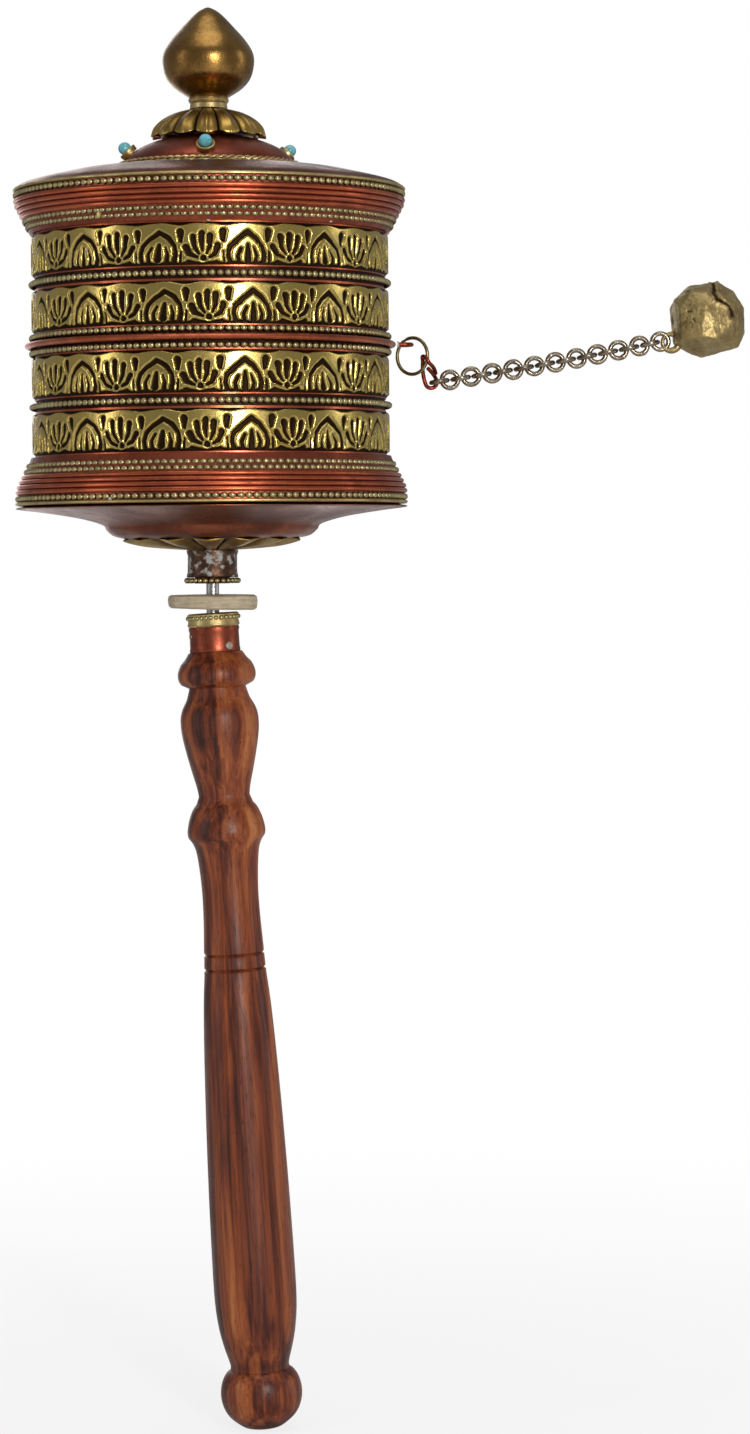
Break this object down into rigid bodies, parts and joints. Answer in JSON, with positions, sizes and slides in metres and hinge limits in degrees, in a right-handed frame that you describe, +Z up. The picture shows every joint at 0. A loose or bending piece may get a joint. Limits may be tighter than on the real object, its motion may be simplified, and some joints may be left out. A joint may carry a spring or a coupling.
{
  "type": "hand prayer wheel",
  "caption": "Hand-held prayer wheel: a decorated copper drum spinning on a steel spindle above a turned wooden handle, with a swinging weight on a chain.",
  "frame": {"origin": "middle of the grip, on the handle's own axis", "axes": "+Z up along the drum's axis, the chain is thrown out towards +X, and the handle's foot leans 2.5 degrees towards +X"},
  "size_m": [0.1375, 0.0734, 0.2656],
  "materials": {
    "rosewood": "oiled turned rosewood, brown with dark and orange streaks",
    "copper": "worn red copper with brown tarnish",
    "dark_copper": "copper gone nearly black",
    "brass": "golden brass, rubbed bright on the high places",
    "bead_brass": "grey-green aged brass",
    "bronze": "brown bronze, rubbed",
    "steel": "bright drawn rod",
    "bone": "pale bone, hand cut",
    "turquoise": "polished turquoise with fine pits",
    "paper": "rolled printed paper",
    "chain_brass": "pale pinkish brass wire",
    "cast_brass": "dull rough casting with rubbed faces"
  },
  "bodies": {
    "handle": {"handle": "rosewood", "handle_ferrule": "copper", "handle_collar": "bead_brass", "spindle": "steel", "finial": "bronze"},
    "washer": {"thrust_washer": "bone"},
    "drum": {"axle_ferrule": "dark_copper", "band_1": "brass", "band_2": "brass", "band_3": "brass", "band_4": "brass", "bead_wire_1": "bead_brass", "bead_wire_2": "bead_brass", "bead_wire_3": "bead_brass", "bead_wire_4": "bead_brass", "bottom_bush": "brass", "bottom_cover": "copper", "bottom_flare": "copper", "bottom_lotus": "brass", "chain_eye": "copper", "core_tube": "copper", "crown_dome": "copper", "crown_wire": "bead_brass", "drum_shell": "dark_copper", "ferrule_bead_ring": "bead_brass", "mantra_roll": "paper", "mid_wire": "copper", "top_bush": "brass", "top_cover": "copper", "top_flare": "copper", "top_lotus": "brass", "turquoise_1": "turquoise", "turquoise_2": "turquoise", "turquoise_3": "turquoise", "turquoise_4": "turquoise"},
    "split_ring": {"split_ring": "bead_brass"},
    "lashing": {"lashing": "copper"},
    "link_01": {"link_01": "chain_brass"},
    "link_02": {"link_02": "chain_brass"},
    "link_03": {"link_03": "chain_brass"},
    "link_04": {"link_04": "chain_brass"},
    "link_05": {"link_05": "chain_brass"},
    "link_06": {"link_06": "chain_brass"},
    "link_07": {"link_07": "chain_brass"},
    "link_08": {"link_08": "chain_brass"},
    "link_09": {"link_09": "chain_brass"},
    "link_10": {"link_10": "chain_brass"},
    "link_11": {"link_11": "chain_brass"},
    "link_12": {"link_12": "chain_brass"},
    "link_13": {"link_13": "chain_brass"},
    "link_14": {"link_14": "chain_brass"},
    "link_15": {"link_15": "chain_brass"},
    "link_16": {"link_16": "chain_brass"},
    "link_17": {"link_17": "chain_brass"},
    "link_18": {"link_18": "chain_brass"},
    "link_19": {"link_19": "chain_brass"},
    "link_20": {"link_20": "chain_brass"},
    "link_21": {"link_21": "chain_brass"},
    "link_22": {"link_22": "chain_brass"},
    "weight": {"weight": "cast_brass"}
  },
  "joints": [
    {"name": "drum_spin", "type": "hinge", "parent": "handle", "child": "drum", "pos_m": [-0.00498, 0, 0.09187], "axis": [0, 0, 1], "continuous": true},
    {"name": "washer_spin", "type": "hinge", "parent": "handle", "child": "washer", "pos_m": [-0.00498, 0, 0.09187], "axis": [0, 0, 1], "continuous": true},
    {"name": "ring_swing", "type": "hinge", "parent": "drum", "child": "split_ring", "pos_m": [0.03058, 0.00145, 0.14177], "axis": [0, -1, 0], "range_deg": [-6, 60]},
    {"name": "lashing_swing", "type": "hinge", "parent": "split_ring", "child": "lashing", "pos_m": [0.03503, -0.00156, 0.13761], "axis": [0.4755, -0.3207, 0.8192], "range_deg": [-15, 15]},
    {"name": "link_01_hinge", "type": "hinge", "parent": "lashing", "child": "link_01", "pos_m": [0.03673, 0, 0.13463], "axis": [0, -1, 0], "range_deg": [-25, 25]},
    {"name": "link_02_hinge", "type": "hinge", "parent": "link_01", "child": "link_02", "pos_m": [0.03871, 0, 0.1349], "axis": [-0.1421, 0, 0.9899], "range_deg": [-25, 25]},
    {"name": "link_03_hinge", "type": "hinge", "parent": "link_02", "child": "link_03", "pos_m": [0.0407, 0, 0.13519], "axis": [0, 1, 0], "range_deg": [-25, 25]},
    {"name": "link_04_hinge", "type": "hinge", "parent": "link_03", "child": "link_04", "pos_m": [0.04267, 0, 0.13548], "axis": [0.1478, 0, -0.989], "range_deg": [-25, 25]},
    {"name": "link_05_hinge", "type": "hinge", "parent": "link_04", "child": "link_05", "pos_m": [0.04465, 0, 0.13577], "axis": [0, -1, 0], "range_deg": [-25, 25]},
    {"name": "link_06_hinge", "type": "hinge", "parent": "link_05", "child": "link_06", "pos_m": [0.04663, 0, 0.13608], "axis": [-0.1536, 0, 0.9881], "range_deg": [-25, 25]},
    {"name": "link_07_hinge", "type": "hinge", "parent": "link_06", "child": "link_07", "pos_m": [0.04861, 0, 0.13638], "axis": [0, 1, 0], "range_deg": [-25, 25]},
    {"name": "link_08_hinge", "type": "hinge", "parent": "link_07", "child": "link_08", "pos_m": [0.05058, 0, 0.1367], "axis": [0.1593, 0, -0.9872], "range_deg": [-25, 25]},
    {"name": "link_09_hinge", "type": "hinge", "parent": "link_08", "child": "link_09", "pos_m": [0.05255, 0, 0.13701], "axis": [0, -1, 0], "range_deg": [-25, 25]},
    {"name": "link_10_hinge", "type": "hinge", "parent": "link_09", "child": "link_10", "pos_m": [0.05453, 0, 0.13734], "axis": [-0.165, 0, 0.9863], "range_deg": [-25, 25]},
    {"name": "link_11_hinge", "type": "hinge", "parent": "link_10", "child": "link_11", "pos_m": [0.0565, 0, 0.13767], "axis": [0, 1, 0], "range_deg": [-25, 25]},
    {"name": "link_12_hinge", "type": "hinge", "parent": "link_11", "child": "link_12", "pos_m": [0.05847, 0, 0.138], "axis": [0.1708, 0, -0.9853], "range_deg": [-25, 25]},
    {"name": "link_13_hinge", "type": "hinge", "parent": "link_12", "child": "link_13", "pos_m": [0.06044, 0, 0.13835], "axis": [0, -1, 0], "range_deg": [-25, 25]},
    {"name": "link_14_hinge", "type": "hinge", "parent": "link_13", "child": "link_14", "pos_m": [0.06241, 0, 0.13869], "axis": [-0.1765, 0, 0.9843], "range_deg": [-25, 25]},
    {"name": "link_15_hinge", "type": "hinge", "parent": "link_14", "child": "link_15", "pos_m": [0.06438, 0, 0.13905], "axis": [0, 1, 0], "range_deg": [-25, 25]},
    {"name": "link_16_hinge", "type": "hinge", "parent": "link_15", "child": "link_16", "pos_m": [0.06635, 0, 0.13941], "axis": [0.1822, 0, -0.9833], "range_deg": [-25, 25]},
    {"name": "link_17_hinge", "type": "hinge", "parent": "link_16", "child": "link_17", "pos_m": [0.06832, 0, 0.13977], "axis": [0, -1, 0], "range_deg": [-25, 25]},
    {"name": "link_18_hinge", "type": "hinge", "parent": "link_17", "child": "link_18", "pos_m": [0.07028, 0, 0.14014], "axis": [-0.188, 0, 0.9822], "range_deg": [-25, 25]},
    {"name": "link_19_hinge", "type": "hinge", "parent": "link_18", "child": "link_19", "pos_m": [0.07225, 0, 0.14052], "axis": [0, 1, 0], "range_deg": [-25, 25]},
    {"name": "link_20_hinge", "type": "hinge", "parent": "link_19", "child": "link_20", "pos_m": [0.07421, 0, 0.1409], "axis": [0.1937, 0, -0.9811], "range_deg": [-25, 25]},
    {"name": "link_21_hinge", "type": "hinge", "parent": "link_20", "child": "link_21", "pos_m": [0.07617, 0, 0.14128], "axis": [0, -1, 0], "range_deg": [-25, 25]},
    {"name": "link_22_hinge", "type": "hinge", "parent": "link_21", "child": "link_22", "pos_m": [0.07813, 0, 0.14168], "axis": [-0.1994, 0, 0.9799], "range_deg": [-25, 25]},
    {"name": "weight_hinge", "type": "hinge", "parent": "link_22", "child": "weight", "pos_m": [0.08009, 0, 0.14208], "axis": [0, -1, 0], "range_deg": [-20, 20]}
  ]
}
